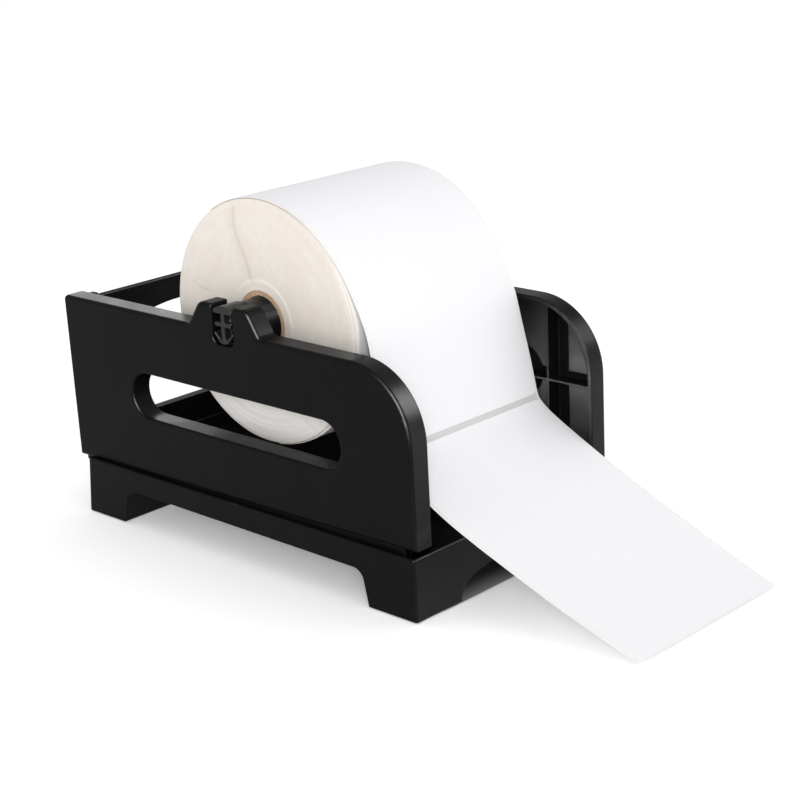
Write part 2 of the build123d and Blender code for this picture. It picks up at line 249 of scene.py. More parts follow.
def black_plastic(name, base=0.0032, spec=0.045, rough=0.31, grain=1.0):
    """Satin moulded polymer: fine spark texture, uneven sheen, edges painted a little lighter, partly as rubbed wear
    and partly as a painted highlight.
    """
    m, nt, b = new_mat(name)
    k = Nodes(nt)
    b.inputs["Specular IOR Level"].default_value = spec
    fine = k.noise(2600, 2.0, 0.55)
    mid = k.noise(420, 3.0, 0.5)
    broad = k.noise(34, 4.0, 0.55)
    bev = k.put("ShaderNodeBevel", samples=6)
    bev.inputs["Radius"].default_value = 0.0008
    geo = k.put("ShaderNodeNewGeometry")
    dot = k.put("ShaderNodeVectorMath", operation="DOT_PRODUCT")
    k.link(bev.outputs[0], dot.inputs[0])
    k.link(geo.outputs["Normal"], dot.inputs[1])
    edge = k.ramp(dot.outputs["Value"], 0.995, 0.86)
    worn_and_glint = k.math("MULTIPLY", edge, k.ramp(broad, 0.35, 0.65, 0.35, 1.0))
    tone = k.mix(broad, (base * 0.86, base * 0.86, base * 0.88), (base * 1.16, base * 1.16, base * 1.15))
    speck = k.mix(k.math("MULTIPLY", k.ramp(mid, 0.56, 0.72), 0.30), tone, (base * 1.9, base * 1.9, base * 1.9))
    # base colour lighter along the edges: rubbed wear and a painted edge highlight
    k.link(k.mix(k.math("MULTIPLY", worn_and_glint, 0.55), speck, (base * 4.2, base * 4.2, base * 4.3)), b.inputs["Base Color"])
    r1 = k.ramp(broad, 0.3, 0.7, rough - 0.035, rough + 0.045)
    r2 = k.math("ADD", r1, k.ramp(fine, 0.3, 0.7, -0.03, 0.03))
    k.link(k.math("SUBTRACT", r2, k.math("MULTIPLY", worn_and_glint, 0.07), clamp=True), b.inputs["Roughness"])
    n1 = k.bump(fine, 0.22 * grain, 0.00003, bev.outputs[0])
    k.link(k.bump(mid, 0.10 * grain, 0.00006, n1), b.inputs["Normal"])
    return m


def rubber(name):
    m, nt, b = new_mat(name)
    k = Nodes(nt)
    b.inputs["Specular IOR Level"].default_value = 0.2
    fine, broad = k.noise(1500, 3.0, 0.6), k.noise(90, 3.0)
    k.link(k.mix(broad, (0.016, 0.016, 0.016), (0.030, 0.029, 0.028)), b.inputs["Base Color"])
    k.link(k.ramp(fine, 0.3, 0.7, 0.72, 0.90), b.inputs["Roughness"])
    k.link(k.bump(fine, 0.35, 0.00006), b.inputs["Normal"])
    return m


def label_paper(name):
    """Thermal label face: cool white, very fine coating texture, faint long-range tone."""
    m, nt, b = new_mat(name)
    k = Nodes(nt)
    b.inputs["Specular IOR Level"].default_value = 0.16
    fibre = k.noise(900, 4.0, 0.62, vec=k.stretch(1.0, 0.55, 0.55))
    broad = k.noise(28, 3.0, 0.5)
    tone = k.mix(broad, (0.762, 0.754, 0.769), (0.780, 0.773, 0.788))
    k.link(k.mix(k.math("MULTIPLY", k.ramp(fibre, 0.35, 0.72), 0.35), tone, (0.806, 0.800, 0.811)), b.inputs["Base Color"])
    k.link(k.ramp(fibre, 0.3, 0.7, 0.46, 0.58), b.inputs["Roughness"])
    n1 = k.bump(fibre, 0.10, 0.00003)
    k.link(k.bump(k.noise(70, 2.0, 0.4), 0.05, 0.0004, n1), b.inputs["Normal"])
    return m


def liner_paper(name):
    """Glassine release liner: greyer, smoother, with cloudy fibre formation, and painted shade where it shows in the
    gap between the labels.
    """
    m, nt, b = new_mat(name)
    k = Nodes(nt)
    b.inputs["Specular IOR Level"].default_value = 0.22
    cloud = k.noise(260, 4.0, 0.6)
    fine = k.noise(1500, 3.0, 0.6)
    tone = k.mix(k.ramp(cloud, 0.3, 0.7), (0.740, 0.738, 0.722), (0.785, 0.782, 0.765))
    gap_shade = k.put("ShaderNodeAttribute", attribute_name="gap_shade").outputs["Fac"]
    # painted shade: the liner is darker in the gap between the labels
    k.link(k.mix(gap_shade, tone, (0.560, 0.560, 0.552)), b.inputs["Base Color"])
    k.link(k.ramp(fine, 0.3, 0.7, 0.30, 0.42), b.inputs["Roughness"])
    k.link(k.bump(fine, 0.06, 0.00003), b.inputs["Normal"])
    return m


def wound_paper(name):
    """Cut edges of the wound turns, seen end on: fine rings, cloudy patches, a seam where the gaps stack."""
    m, nt, b = new_mat(name)
    k = Nodes(nt)
    b.inputs["Specular IOR Level"].default_value = 0.12
    x, y, z = k.split()
    r = k.math("SQRT", k.math("ADD", k.math("MULTIPLY", y, y), k.math("MULTIPLY", z, z)))
    wob = k.math("MULTIPLY", k.math("SUBTRACT", k.noise(45, 3.0, 0.5), 0.5), 0.0016)
    rr = k.math("ADD", r, wob)
    fine = k.noise(5200, 1.0, 0.5, dims="1D", w=rr)
    band = k.noise(760, 2.0, 0.6, dims="1D", w=rr)
    wide = k.noise(150, 2.0, 0.5, dims="1D", w=rr)
    cloud = k.noise(60, 4.0, 0.60)
    mottle = k.noise(330, 3.0, 0.62)
    speck = k.noise(1500, 3.0, 0.62)
    cream = k.mix(k.ramp(cloud, 0.34, 0.66), (0.718, 0.655, 0.585), (0.738, 0.694, 0.643))
    cream = k.mix(k.math("MULTIPLY", k.ramp(wide, 0.40, 0.66), 0.35), cream, (0.757, 0.716, 0.665))
    cream = k.mix(k.math("MULTIPLY", k.ramp(mottle, 0.42, 0.66), 0.42), cream, (0.686, 0.625, 0.553))
    cream = k.mix(k.math("MULTIPLY", k.ramp(band, 0.34, 0.70), 0.14), cream, (0.690, 0.630, 0.550))
    cream = k.mix(k.math("MULTIPLY", k.ramp(fine, 0.36, 0.66), 0.09), cream, (0.64, 0.57, 0.48))
    cream = k.mix(k.math("MULTIPLY", k.ramp(speck, 0.56, 0.76), 0.30), cream, (0.60, 0.52, 0.43))
    cream = k.mix(k.math("MULTIPLY", k.ramp(speck, 0.44, 0.30), 0.30), cream, (0.820, 0.775, 0.712))
    seam = k.put("ShaderNodeAttribute", attribute_name="seam").outputs["Fac"]
    # the seam mask also carries painted shade in the crevices between the lower turns
    cream = k.mix(k.math("MULTIPLY", seam, 0.80), cream, (0.490, 0.450, 0.360))
    # pale mask: paler turns near the core and in a vee, and painted light over the lower part of the roll
    pale = k.put("ShaderNodeAttribute", attribute_name="pale").outputs["Fac"]
    cream = k.mix(k.math("MULTIPLY", pale, 0.75), cream, (0.890, 0.872, 0.840))
    k.link(cream, b.inputs["Base Color"])
    k.link(k.ramp(fine, 0.3, 0.7, 0.68, 0.86), b.inputs["Roughness"])
    n1 = k.bump(fine, 0.18, 0.00008)
    k.link(k.bump(band, 0.18, 0.00015, n1), b.inputs["Normal"])
    return m


def kraft(name):
    """Spirally wound kraft tube: fibres along the winding, darker ply joints."""
    m, nt, b = new_mat(name)
    k = Nodes(nt)
    b.inputs["Specular IOR Level"].default_value = 0.15
    fibre = k.noise(520, 5.0, 0.65, vec=k.stretch(0.45, 1.3, 1.3))
    cloud = k.noise(70, 3.0)
    fine = k.noise(2100, 3.0, 0.6)
    base = k.mix(k.ramp(cloud, 0.3, 0.7), (0.430, 0.285, 0.175), (0.520, 0.365, 0.240))
    base = k.mix(k.math("MULTIPLY", k.ramp(fibre, 0.35, 0.70), 0.55), base, (0.620, 0.470, 0.330))
    base = k.mix(k.math("MULTIPLY", k.ramp(fine, 0.58, 0.80), 0.35), base, (0.290, 0.180, 0.100))
    ply = k.put("ShaderNodeAttribute", attribute_name="seam").outputs["Fac"]
    base = k.mix(k.math("MULTIPLY", ply, 0.8), base, (0.150, 0.085, 0.042))
    k.link(base, b.inputs["Base Color"])
    k.link(k.ramp(fine, 0.3, 0.7, 0.74, 0.90), b.inputs["Roughness"])
    n1 = k.bump(fibre, 0.35, 0.00010)
    k.link(k.bump(fine, 0.25, 0.00005, n1), b.inputs["Normal"])
    return m


M_PANEL = black_plastic("panel_black")
M_TRAY = black_plastic("tray_black", base=0.0032, rough=0.33)
M_SPINDLE = black_plastic("spindle_black", base=0.0060, spec=0.20, rough=0.28)
M_RUBBER = rubber("pad_rubber_dark")
M_LABEL = label_paper("label_face")
M_LINER = liner_paper("liner_glassine")
M_WOUND = wound_paper("wound_edges")
M_KRAFT = kraft("core_kraft")


def assign(node, mat):
    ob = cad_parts[node]
    if not ob.data.materials:
        ob.data.materials.append(mat)
    for i in range(len(ob.material_slots)):
        ob.material_slots[i].material = mat


for n, mat in {
    "base_tray": M_TRAY,
    "left_side_panel": M_PANEL,
    "right_side_panel": M_PANEL,
    "rear_frame": M_PANEL,
    "foot_pads": M_RUBBER,
    "spindle_tube": M_SPINDLE,
    "left_spindle_key": M_SPINDLE,
    "right_spindle_key": M_SPINDLE,
}.items():
    assign(n, mat)


# ------------------------------------------------------------------ the free web's shape
def polar(theta, r):
    t = math.radians(theta)
    return (AX_Y - YC + r * math.cos(t), AX_Z + r * math.sin(t))


# Both edges of the web, (y from the base's middle, z), mm, outer face of the liner.
over = [(58, 60.35), (66, 60.45), (74, 60.52), (82, 60.62), (90, 60.75), (98, 60.95),
        (106, 61.25), (113.5, 61.65), (123, 62.05), (134, 62.45), (143, 63.1), (152, 64.2),
        (161, 65.5), (168.5, 67.5)]
over_pts = [polar(t, r) for t, r in over]
left_down = over_pts + [
    (-69.9, 120.6), (-71.7, 112.0), (-73.5, 100.0), (-75.2, 87.0), (-76.7, 74.0), (-77.9, 63.9)]
right_down = over_pts + [
    (-69.2, 122.2), (-71.2, 117.0), (-74.9, 102.3), (-78.9, 87.4), (-82.0, 73.5), (-83.6, 66.6)]
left_out = [
    (-77.9, 63.9), (-79.3, 61.5), (-84.5, 58.2), (-92.0, 53.6), (-104.8, 46.0), (-117.1, 39.5),
    (-134.0, 32.0), (-152.1, 24.9), (-174.5, 16.6), (-201.7, 7.4), (-218.8, 1.75)]
right_out = [
    (-83.6, 66.6), (-84.9, 64.3), (-89.0, 61.3), (-96.3, 56.9), (-107.1, 51.1), (-117.8, 45.6),
    (-123.6, 42.8), (-138.0, 36.0), (-153.8, 28.9), (-182.8, 16.0), (-205.0, 6.6), (-220.6, 0.75)]


def edge_line(down, out):
    """Dense smooth line down one edge, with its number of points before the crease."""
    a = gauss_smooth(resample(down, 0.5), 7.0)
    b = gauss_smooth(resample(out, 0.5), 7.0)
    # the crease stays tight: only a short blend across the joint
    whole = np.vstack([a, b[1:]])
    k = len(a) - 1
    near = gauss_smooth(whole, 2.2)
    w = np.exp(-0.5 * ((np.arange(len(whole)) - k) / 6.0) ** 2)[:, None]
    whole = whole * (1 - w) + near * w
    d = np.r_[0, np.cumsum(np.hypot(*np.diff(whole, axis=0).T))]
    return whole, d, d[k]


L_LINE, L_D, L_GAP = edge_line(left_down, left_out)
R_LINE, R_D, R_GAP = edge_line(right_down, right_out)
S_GAP = (L_GAP + R_GAP) / 2
S_END = S_GAP + ((L_D[-1] - L_GAP) + (R_D[-1] - R_GAP)) / 2


def on_edge(line, d, gap, s):
    """Point at the common length s: both edges agree at the start, the crease and the end."""
    own = np.where(s < S_GAP, s / S_GAP * gap, gap + (s - S_GAP) / (S_END - S_GAP) * (d[-1] - gap))
    return np.stack([np.interp(own, d, line[:, 0]), np.interp(own, d, line[:, 1])], -1)


def web_mid(s, x):
    """Points of the web's surface (liner's outer face) at lengths s and positions x, mm."""
    s, x = np.broadcast_arrays(np.asarray(s, float), np.asarray(x, float))
    u = (x - X0) / (X1 - X0)
    shape = s.shape
    a = on_edge(L_LINE, L_D, L_GAP, s.ravel()).reshape(*shape, 2)
    b = on_edge(R_LINE, R_D, R_GAP, s.ravel()).reshape(*shape, 2)
    p = a * (1 - u[..., None]) + b * u[..., None]
    return np.stack([x, p[..., 0] + YC, p[..., 1]], -1)


def web_point(s, x, off):
    """The same, moved off outward, with the paper's slight cockle in it."""
    s, x = np.broadcast_arrays(np.asarray(s, float), np.asarray(x, float))
    h = 0.35
    ds = web_mid(np.clip(s + h, 0, S_END), x) - web_mid(np.clip(s - h, 0, S_END), x)
    dx = web_mid(s, x + 0.5) - web_mid(s, x - 0.5)
    n = np.cross(ds, dx)
    n /= np.linalg.norm(n, axis=-1, keepdims=True)
    free = smoothstep(s, S_GAP - 110, S_GAP - 40)
    tail = smoothstep(s, S_GAP + 8, S_GAP + 45) * (1 - smoothstep(s, S_END - 40, S_END - 4))
    u = (x - X0) / (X1 - X0)
    cockle = 0.22 * free * np.sin(s / 21.0 + 1.1) * np.sin(math.pi * u * 1.6 + 0.6)
    cockle += tail * (0.55 * np.sin(math.pi * u) * np.sin((s - S_GAP) / 31.0)
                      + 0.16 * np.sin(s / 12.5 + 3.0 * u))
    return web_mid(s, x) + n * (off + cockle)[..., None]


def wrap_point(s, x, off, start=0.0):
    """Point on the roll's own outer turn: s mm round from the start angle, x across."""
    s, x = np.broadcast_arrays(np.asarray(s, float), np.asarray(x, float))
    t = math.radians(start) + s / ROLL_R
    r = ROLL_R + off
    return np.stack([x, AX_Y + r * np.cos(t), AX_Z + r * np.sin(t)], -1)


def sheet(place, s0, s1, xa, xb, off0, off1, corner=0.0, ds=2.0, dx=3.5, keep=None, gap_shade=None):
    """Closed thin sheet between two lengths, with rounded corners. place(s, x, off) gives points."""
    rows = list(np.linspace(s0 + corner, s1 - corner, max(int((s1 - s0) / ds), 6)))
    if keep is not None:
        rows = sorted(rows + [q for q in keep if s0 + corner < q < s1 - corner])
    pinch = [0.0] * len(rows)
    if corner > 0:
        ph = np.radians(np.linspace(0, 90, 9)[:-1])
        head = [(s0 + corner * (1 - math.cos(a)), corner * (1 - math.sin(a))) for a in ph]
        tail = [(s1 - corner * (1 - math.cos(a)), corner * (1 - math.sin(a))) for a in ph[::-1]]
        rows = [h[0] for h in head] + rows + [t[0] for t in tail]
        pinch = [h[1] for h in head] + pinch + [t[1] for t in tail]
    rows, pinch = np.array(rows), np.array(pinch)
    # across: fine columns beside both edges, so the margin stays crisp
    e = np.array([0.0, 0.25, 0.7, 1.5, 3.0])
    mid = np.linspace(3.0, (xb - xa) - 3.0, max(int((xb - xa) / dx), 6))[1:-1]
    cols = np.r_[e, mid, (xb - xa) - e[::-1]] / (xb - xa)
    xs = (xa + pinch)[:, None] + cols[None, :] * ((xb - xa) - 2 * pinch)[:, None]
    ss = np.repeat(rows[:, None], len(cols), 1)
    b = Builder()
    mask = {} if gap_shade is None else {"gap_shade": gap_shade(ss, xs)}
    top = b.grid(place(ss, xs, np.full(ss.shape, off1)), flip=False, **mask)
    bot = b.grid(place(ss, xs, np.full(ss.shape, off0)), flip=True)
    b.strip(top[:, 0], bot[:, 0])
    b.strip(top[:, -1], bot[:, -1], flip=True)
    b.strip(top[0], bot[0], flip=True)
    b.strip(top[-1], bot[-1])
    return b


def outward(ob):
    """Makes every face of a closed mesh look out."""
    import bmesh

    bm = bmesh.new()
    bm.from_mesh(ob.data)
    bmesh.ops.recalc_face_normals(bm, faces=bm.faces)
    bm.to_mesh(ob.data)
    bm.free()
    return ob


LINER_T, LABEL_T, MARGIN, GAP = 0.2, 0.18, 1.7, 3.2
crease = [S_GAP + q for q in (-4, -3, -2.2, -1.6, -1.1, -0.7, -0.35, 0, 0.35, 0.7, 1.1, 1.6, 2.2, 3, 4)]

# mask for the painted shade on the liner in the gap between the labels
def between_labels(s, x):
    return (np.abs(s - S_GAP) < GAP / 2 + 0.6) * smoothstep(np.minimum(x - X0, X1 - x), 0.6, 2.2)


liner = sheet(web_point, 0.0, S_END, X0, X1, -LINER_T, 0.0, keep=crease, gap_shade=between_labels).make("web_liner", [M_LINER], angle=50)
outward(liner)
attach(liner, "spindle")
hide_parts("liner_web")

front = sheet(
    web_point, S_GAP + GAP / 2, S_END - 0.5, X0 + MARGIN, X1 - MARGIN, 0.01, LABEL_T, corner=1.6,
    keep=crease).make("web_front_label", [M_LABEL], angle=50)
outward(front)
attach(front, "spindle")
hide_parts("front_label")

upper = sheet(
    web_point, 1.6, S_GAP - GAP / 2, X0 + MARGIN, X1 - MARGIN, 0.01, LABEL_T, corner=1.6,
    keep=crease).make("web_next_label", [M_LABEL], angle=50)
outward(upper)
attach(upper, "spindle")
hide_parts("next_label")


# ------------------------------------------------------------------ the wound roll
rng = np.random.default_rng(7102)
SEAMS = [  # path as (radius, angle), depth mm, half width mm, darkness
    ([(18.2, 74.6), (20.2, 73.9), (23.6, 72.5), (28.4, 73.0), (34.3, 71.8), (39.5, 70.5), (47.6, 70.5),
      (55.2, 73.6), (58.6, 75.6)], 0.20, 0.85, 0.62),
    ([(46.0, -117.0), (52.0, -119.6), (59.4, -124.0)], 0.26, 0.60, 0.60),
    ([(48.0, -133.0), (54.0, -130.5), (59.4, -127.5)], 0.20, 0.55, 0.45),
    ([(30.0, -141.0), (37.0, -143.0), (44.0, -140.0)], 0.12, 0.50, 0.22),
    ([(36.0, 16.0), (44.0, 14.2), (52.0, 15.6)], 0.12, 0.50, 0.20),
    ([(40.0, 201.0), (49.0, 203.0), (58.0, 201.6)], 0.12, 0.50, 0.20),
]


def ring_noise(n, sigma, seed):
    g = np.random.default_rng(seed).normal(size=n + 80)
    k = np.exp(-0.5 * (np.arange(-40, 41) / sigma) ** 2)
    out = np.convolve(g, k / math.sqrt((k * k).sum()), "valid")
    return out[:n]


def side_relief(r, th, seed, mirror=1.0):
    """How far each turn stands proud of the roll's flat end, mm, with the seam and pale masks; the pale mask also
    holds painted light on the lower part, the seam mask painted shade in its crevices.
    """
    rr = r[:, None] + 0 * th[None, :]
    tt = th[None, :] + 0 * r[:, None]
    n = len(r)
    fine = ring_noise(n, 0.7, seed)[:, None] * 0.010
    steps = ring_noise(n, 3.2, seed + 1)[:, None] * 0.026
    broad = ring_noise(n, 16.0, seed + 2)[:, None] * 0.10
    turn = np.cos(np.radians(tt - 40.0 * np.sin(rr / 9.0)))
    low = smoothstep(np.cos(np.radians(tt + 98.0)), 0.15, 0.92)      # the lower part is looser
    loose = (ring_noise(n, 1.6, seed + 3)[:, None] * 0.12
             + ring_noise(n, 4.5, seed + 4)[:, None] * 0.16 * np.sin(np.radians(tt * 2.0 + 50 + rr * 3.0)))
    h = fine + steps * (0.75 + 0.25 * turn) + broad * turn + loose * low
    h = h - 0.30 * smoothstep(rr, ROLL_R - 1.2, ROLL_R)              # outermost turns lean back
    h = h + 0.18 * np.exp(-0.5 * ((rr - 20.3) / 0.55) ** 2) * smoothstep(np.cos(np.radians(tt - 118.0)), -0.3, 0.7)
    seam = np.zeros_like(rr)
    for path, depth, half, dark in SEAMS:
        pr, pa = np.array(path).T
        line = np.interp(rr, pr, pa)
        d = np.radians((tt - line + 180.0) % 360.0 - 180.0) * rr
        span = smoothstep(rr, pr[0] - 1.0, pr[0] + 2.0) * (1 - smoothstep(rr, pr[-1] - 3.0, pr[-1] + 0.6))
        g = np.exp(-0.5 * (d / half) ** 2) * span
        soft = np.exp(-0.5 * (d / (half * 3.6)) ** 2) * span
        h = h - depth * g - 0.10 * depth * soft
        seam = np.maximum(seam, dark * (0.62 * g + 0.30 * soft))
    pale = 0.5 * np.exp(-0.5 * ((rr - 20.3) / 0.7) ** 2) * smoothstep(np.cos(np.radians(tt - 118.0)), -0.3, 0.7)
    vee = np.exp(-0.5 * (((tt + 129.0 + 180) % 360 - 180) / 6.5) ** 2) * smoothstep(rr, 47, 56)
    pale = np.maximum(pale, 0.6 * vee)
    # painted light: the lower part of the roll is painted paler to stand in for light that hardly reaches it
    pale = np.maximum(pale, low)
    # painted shade: dark crevices between the looser lower turns
    seam = np.maximum(seam, 0.18 * low * smoothstep(ring_noise(n, 2.2, seed + 5)[:, None] + 0 * tt, 0.9, 1.8))
    return h, seam, pale


def angles():
    a = list(np.arange(-180, 180, 1.25))
    for s in SEAMS:
        c = (np.mean([q[1] for q in s[0]]) + 180) % 360 - 180
        a += list(np.arange(c - 5.6, c + 5.6, 0.28))
    return np.unique(np.round((np.array(a) + 180) % 360 - 180, 3))


def wound_roll():
    th = angles()
    ct, st = np.cos(np.radians(th)), np.sin(np.radians(th))
    r_out = ROLL_R - LABEL_T - 0.02
    r_in = CORE_R + 0.04
    r = np.r_[np.arange(r_in, r_out - 0.2, 0.36), r_out]
    b = Builder()
    rings = []
    for side, x, seed in ((-1, X0, 31), (1, X1, 67)):
        h, seam, pale = side_relief(r, th, seed)
        xs = x + side * np.clip(h, -0.9, 0.55)
        xs = xs - side * 0.25
        pts = np.stack([xs, AX_Y + r[:, None] * ct[None, :], AX_Z + r[:, None] * st[None, :]], -1)
        idx = b.grid(pts, wrap_v=True, flip=(side > 0), mat=0, seam=seam, pale=pale)
        rings.append(idx)
    left, right = rings
    # outer turn's liner, and the bore against the core, both closed onto the same end rings
    nx = 10
    prev = left[-1]
    for j in range(1, nx):
        x = X0 + (X1 - X0) * j / nx
        pts = np.stack([np.full(len(th), x), AX_Y + r_out * ct, AX_Z + r_out * st], -1)[None]
        base = b.n
        b.v.append(pts.reshape(-1, 3))
        b.n += len(th)
        row = np.r_[np.arange(base, base + len(th)), base]
        b.strip(prev, row, mat=1)
        prev = row
    b.strip(prev, right[-1], mat=1)
    prev = left[0]
    for j in range(1, nx):
        x = X0 + (X1 - X0) * j / nx
        pts = np.stack([np.full(len(th), x), AX_Y + r_in * ct, AX_Z + r_in * st], -1)
        base = b.n
        b.v.append(pts)
        b.n += len(th)
        row = np.r_[np.arange(base, base + len(th)), base]
        b.strip(prev, row, flip=True, mat=0)
        prev = row
    b.strip(prev, right[0], flip=True, mat=0)
    ob = b.make("wound_labels", [M_WOUND, M_LINER], origin=(0, AX_Y, AX_Z), angle=60)
    return outward(ob)


wound = wound_roll()
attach(wound, "roll")
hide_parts("label_roll")

# labels on the roll's own outermost turn, seen behind and below
turn_len = 2 * math.pi * ROLL_R
for name, start, length in (
    ("roll_label_rear", -60.4, 152.4),
    ("roll_label_under", -63.5 - math.degrees(152.4 / ROLL_R), 152.4),
    ("roll_label_top", 88.0, 62.5),
):
    def place(s, x, off, start=start):
        return wrap_point(s, x, off, start)

    ob = sheet(place, 0.0, length, X0 + MARGIN, X1 - MARGIN, -LABEL_T - 0.015, -0.10, corner=1.6, ds=1.6).make(
        name, [M_LABEL], angle=50)
    outward(ob)
    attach(ob, "roll")


# the last turns have sprung open a little at the front: a thin crescent between roll and web
SPRUNG = [(84, 60.15), (90, 60.28), (100, 60.5), (113, 61.0), (123, 61.4), (134, 61.8), (144, 62.4), (152, 63.2),
          (162, 64.2), (168, 65.3), (172, 65.7), (178, 65.1), (185, 64.3), (200, 63.0), (215, 62.3),
          (226, 61.9), (236, 61.2), (246, 60.8), (256, 60.4), (264, 60.15)]


def loose_turns():
    th = np.arange(84.0, 264.01, 1.0)
    sa, sr = np.array(SPRUNG, float).T
    out = gauss_smooth(np.interp(th, sa, sr)[:, None], 2.5)[:, 0] - 0.03
    inner = np.full_like(out, ROLL_R + 0.02)
    out = np.maximum(out, inner + 0.03)
    nt = 15
    t = np.linspace(0, 1, nt)
    rad = inner[None, :] + (out - inner)[None, :] * t[:, None]
    ct, st = np.cos(np.radians(th)), np.sin(np.radians(th))
    g = np.random.default_rng(911)
    b = Builder()
    ends = []
    for side, x in ((-1, X0), (1, X1)):
        layer = np.repeat(g.normal(size=(nt, 1)) * 0.16, len(th), 1)
        wave = g.normal(size=(nt, 1)) * 0.12 * np.sin(np.radians(th[None, :] * 2.1) + g.uniform(0, 6, (nt, 1)))
        x_side = x - side * (0.40 + np.clip(layer + wave, -0.3, 0.5))
        seam = np.repeat((np.arange(nt) % 3 == 1).astype(float)[:, None] * 0.32, len(th), 1)
        pts = np.stack([x_side, AX_Y + rad * ct, AX_Z + rad * st], -1)
        ends.append(b.grid(pts, flip=(side > 0), seam=seam, pale=0.5 - 0 * seam))
    left, right = ends
    nx = 8
    for k, mat in ((-1, 1), (0, 1)):
        prev = left[k]
        for j in range(1, nx):
            x = X0 + (X1 - X0) * j / nx
            pts = np.stack([np.full(len(th), x), AX_Y + rad[k] * ct, AX_Z + rad[k] * st], -1)
            base = b.n
            b.v.append(pts)
            b.n += len(th)
            row = np.arange(base, base + len(th))
            b.strip(prev, row, mat=mat)
            if k == -1:
                first_o = b.__dict__.setdefault("o", [])
                first_o.append((row[0], row[-1]))
            else:
                b.__dict__.setdefault("i", []).append((row[0], row[-1]))
            prev = row
        b.strip(prev, right[k], mat=mat)
    # the two thin ends of the crescent
    for e in (0, -1):
        col_l, col_r = left[:, e], right[:, e]
        outer = [left[-1][e]] + [q[e] for q in b.o] + [right[-1][e]]
        inn = [left[0][e]] + [q[e] for q in b.i] + [right[0][e]]
        ring = list(col_l) + outer[1:-1] + list(col_r[::-1]) + inn[1:-1][::-1]
        b.f_extra = getattr(b, "f_extra", []) + [[int(q) for q in ring]]
    return b


def make_loose():
    b = loose_turns()
    ob = b.make("loose_turns", [M_WOUND, M_LABEL], origin=(0, AX_Y, AX_Z), angle=60)
    me = ob.data
    import bmesh

    bm = bmesh.new()
    bm.from_mesh(me)
    bm.verts.ensure_lookup_table()
    for ring in b.f_extra:
        bm.faces.new([bm.verts[q] for q in ring])
    bmesh.ops.recalc_face_normals(bm, faces=bm.faces)
    bm.to_mesh(me)
    bm.free()
    return ob


sprung = make_loose()
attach(sprung, "spindle")


# ------------------------------------------------------------------ the core
def core_tube():
    nth = 216
    th = np.linspace(0, 2 * math.pi, nth, endpoint=False)
    ct, st = np.cos(th), np.sin(th)
    ro, ri = CORE_R - 0.02, CORE_BORE
    pitch = 62.0
    b = Builder()
    xs = np.linspace(X0 + 0.5, X1 - 0.5, 150)
    # bore, with the helical butt joint of the innermost ply
    ph = (th[None, :] / (2 * math.pi) - xs[:, None] / pitch) % 1.0
    d = np.minimum(ph, 1 - ph) * pitch * 0.80
    groove = np.exp(-0.5 * (d / 0.45) ** 2)
    ph2 = (ph + 0.47) % 1.0
    d2 = np.minimum(ph2, 1 - ph2) * pitch * 0.80
    groove2 = np.exp(-0.5 * (d2 / 0.5) ** 2)
    rad = ri + 0.16 * groove + 0.03 * groove2
    bore = np.stack([xs[:, None] + 0 * rad, AX_Y + rad * ct[None, :], AX_Z + rad * st[None, :]], -1)
    seam = np.maximum(0.9 * groove, 0.3 * groove2)
    bi = b.grid(bore, wrap_v=True, flip=True, seam=seam)
    ends = []
    for side, x in ((-1, X0), (1, X1)):
        r = np.linspace(ri + 0.25, ro - 0.2, 26)
        ply = (r - ri) / (ro - ri) * 4.0
        near = np.abs(ply - np.round(ply)) * (ro - ri) / 4.0
        line = np.exp(-0.5 * (near / 0.07) ** 2)
        rough = np.random.default_rng(5 + side).normal(size=(26, nth)) * 0.018
        xx = x - side * (0.18 + 0.10 * line[:, None] + rough)
        pts = np.stack([xx, AX_Y + r[:, None] * ct[None, :], AX_Z + r[:, None] * st[None, :]], -1)
        idx = b.grid(pts, wrap_v=True, flip=(side > 0), seam=np.repeat(line[:, None] * 0.75, nth, 1))
        ends.append(idx)
    xo = np.linspace(X0 + 0.45, X1 - 0.45, 12)
    outer = np.stack([np.repeat(xo[:, None], nth, 1), AX_Y + ro * np.repeat(ct[None, :], 12, 0),
                      AX_Z + ro * np.repeat(st[None, :], 12, 0)], -1)
    oi = b.grid(outer, wrap_v=True)
    b.strip(bi[0], ends[0][0])
    b.strip(bi[-1], ends[1][0], flip=True)
    b.strip(ends[0][-1], oi[0])
    b.strip(ends[1][-1], oi[-1], flip=True)
    return outward(b.make("core_tube", [M_KRAFT], origin=(0, AX_Y, AX_Z), angle=50))


core = core_tube()
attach(core, "roll")
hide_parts("cardboard_core")


# ------------------------------------------------------------------ camera
AZ, EL, ROLLDEG = math.radians(-46.3997), math.radians(17.8241), math.radians(-2.6105)
back = Vector((math.sin(AZ) * math.cos(EL), -math.cos(AZ) * math.cos(EL), math.sin(EL)))
right = Vector((math.cos(AZ), math.sin(AZ), 0.0))
up = back.cross(right)
cr, sr = math.cos(ROLLDEG), math.sin(ROLLDEG)
R = right * cr + up * sr
U = -right * sr + up * cr
cam_data = bpy.data.cameras.new("camera")
cam = bpy.data.objects.new("camera", cam_data)
bpy.context.scene.collection.objects.link(cam)
cam_data.lens = 81.69
cam_data.sensor_width = 36.0
cam_data.clip_start, cam_data.clip_end = 0.02, 60.0
rot = Matrix((R, U, back)).transposed().to_4x4()
cam.matrix_world = Matrix.Translation(Vector((-0.610157, -0.624393 + YC * MM, 0.342821))) @ rot
bpy.context.scene.camera = cam


# ------------------------------------------------------------------ stage and light
FLOOR_SHADOW_SPAN = (YC * MM - 0.1172, YC * MM - 0.080)  # painted shadow on the floor under the front wall, where almost no light gets in
